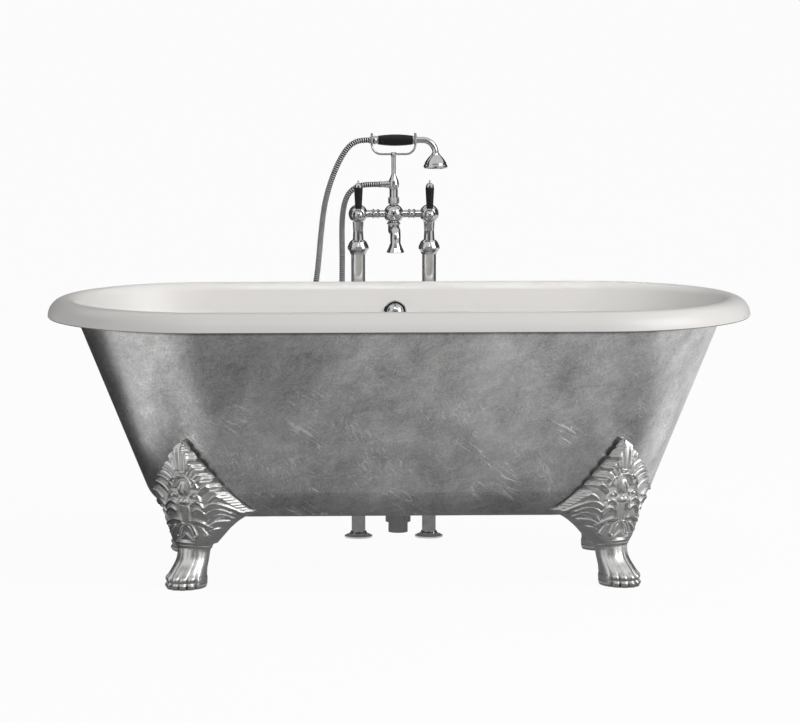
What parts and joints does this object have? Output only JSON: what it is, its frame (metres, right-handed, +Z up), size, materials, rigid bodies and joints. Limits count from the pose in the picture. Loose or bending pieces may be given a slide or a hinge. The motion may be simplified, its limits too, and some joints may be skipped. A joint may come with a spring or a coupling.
{
  "type": "claw-foot bathtub with bath shower mixer",
  "caption": "Free-standing double-ended cast iron bath with a rolled enamel rim and ornate claw feet, and a floor-standing bath and shower mixer behind it.",
  "frame": {"origin": "middle of the footprint of bath and tap set together, on the floor", "axes": "+X along the bath to the cold tap's side, +Y from the bath's front to the tap set, +Z up"},
  "size_m": [1.7, 0.861, 1.032],
  "materials": {
    "burnished_iron": "burnished, mottled",
    "white_enamel": "glossy vitreous enamel",
    "polished_iron": "polished",
    "steel": "plain",
    "rubber": "matt",
    "black_grip": "satin",
    "rose_plate": "satin",
    "hose_steel": "bright spiral steel",
    "chrome": "bright plated"
  },
  "bodies": {
    "fixture": {"tub_shell": "burnished_iron", "enamel_lining": "white_enamel", "foot_front_left": "polished_iron", "foot_front_right": "polished_iron", "foot_rear_left": "polished_iron", "foot_rear_right": "polished_iron", "foot_bolt_front_left": "steel", "foot_bolt_front_right": "steel", "foot_bolt_rear_left": "steel", "foot_bolt_rear_right": "steel", "waste_gasket": "rubber", "shower_hose": "hose_steel", "overflow_flange": "chrome", "overflow_body": "chrome", "overflow_pipe": "chrome", "waste_flange": "chrome", "waste_body": "chrome", "standpipe_hot": "chrome", "standpipe_cold": "chrome", "floor_flange_hot": "chrome", "floor_flange_cold": "chrome", "union_nut_hot": "chrome", "union_nut_cold": "chrome", "valve_body_hot": "chrome", "valve_body_cold": "chrome", "cross_bar_hot": "chrome", "cross_bar_cold": "chrome", "mixer_body": "chrome", "swivel_ring": "chrome", "riser_column": "chrome", "hose_outlet": "chrome", "hose_nut_outlet": "chrome", "cradle_rod": "chrome", "cradle": "chrome"},
    "lever_hot": {"lever_hub_hot": "chrome", "lever_grip_hot": "black_grip", "lever_cap_hot": "chrome"},
    "lever_cold": {"lever_hub_cold": "chrome", "lever_grip_cold": "black_grip", "lever_cap_cold": "chrome"},
    "spout": {"spout": "chrome", "spout_mouth": "chrome"},
    "diverter": {"diverter_ring": "chrome"},
    "handset": {"handset_handle": "black_grip", "handset_ferrule_left": "chrome", "handset_ferrule_right": "chrome", "hose_nut_handset": "chrome", "handset_neck": "chrome", "shower_rose": "chrome", "rose_face": "rose_plate"},
    "overflow_knob": {"overflow_knob": "chrome"},
    "waste_plug": {"waste_plug": "chrome"}
  },
  "joints": [
    {"name": "lever_hot_turn", "type": "hinge", "parent": "fixture", "child": "lever_hot", "pos_m": [-0.09, 0.3945, 0.8285], "axis": [0, -1, 0], "range_deg": [0, 90]},
    {"name": "lever_cold_turn", "type": "hinge", "parent": "fixture", "child": "lever_cold", "pos_m": [0.09, 0.3945, 0.8285], "axis": [0, 1, 0], "range_deg": [0, 90]},
    {"name": "spout_swivel", "type": "hinge", "parent": "fixture", "child": "spout", "pos_m": [0, 0.3945, 0.787], "axis": [0, 0, 1], "range_deg": [-40, 40]},
    {"name": "diverter_turn", "type": "hinge", "parent": "fixture", "child": "diverter", "pos_m": [0, 0.3945, 0.862], "axis": [0, 0, 1], "range_deg": [0, 90]},
    {"name": "handset_lift", "type": "slide", "parent": "fixture", "child": "handset", "axis": [0, 0, 1], "range_m": [0, 0.032], "deforming": ["shower_hose"]},
    {"name": "overflow_knob_turn", "type": "hinge", "parent": "fixture", "child": "overflow_knob", "pos_m": [0, 0.28736, 0.59], "axis": [0, -0.9892, 0.1469], "range_deg": [0, 90]},
    {"name": "waste_plug_lift", "type": "slide", "parent": "fixture", "child": "waste_plug", "axis": [0, 0, 1], "range_m": [0, 0.012]}
  ],
  "couplings": [
    {"joint": "waste_plug_lift", "follows": "overflow_knob_turn", "m_per_rad": 0.00763}
  ]
}
